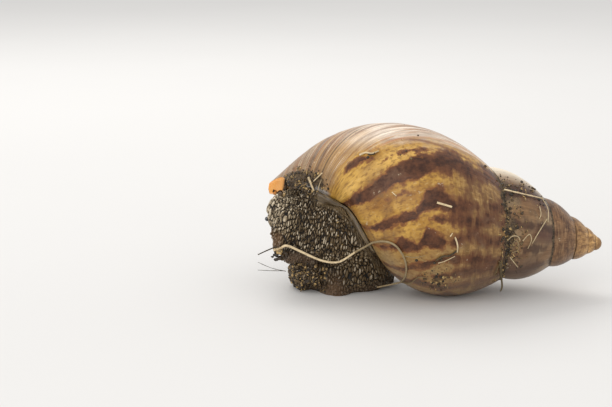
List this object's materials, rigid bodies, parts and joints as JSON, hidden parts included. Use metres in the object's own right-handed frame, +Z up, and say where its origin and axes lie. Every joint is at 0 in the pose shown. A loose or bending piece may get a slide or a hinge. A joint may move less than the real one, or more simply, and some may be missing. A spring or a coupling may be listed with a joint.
{
  "type": "giant african land snail",
  "caption": "Life-size land snail, half drawn into a tall conical spiral shell, resting on its foot with head lowered.",
  "frame": {"origin": "on the ground, under the middle of the snail's bounding box", "axes": "+X towards the tip of the shell, -X towards the head, +Z up; the snail's right side faces +Y"},
  "size_m": [0.1102, 0.0579, 0.0553],
  "materials": {
    "shell": "satin, amber with purple-brown flames",
    "mantle": "wet, smooth, olive-grey",
    "skin": "wet, rough with tubercles, dark brown-grey",
    "eye": "glossy, blue-black"
  },
  "bodies": {
    "root": {"shell": "shell", "mantle_collar": "mantle", "neck": "skin", "head": "skin", "foot_front": "skin", "foot_middle": "skin", "tail": "skin", "lips": "skin", "upper_tentacle_right": "skin", "upper_tentacle_left": "skin", "lower_tentacle_right": "skin", "lower_tentacle_left": "skin", "eye_right": "eye", "eye_left": "eye"}
  },
  "joints": []
}
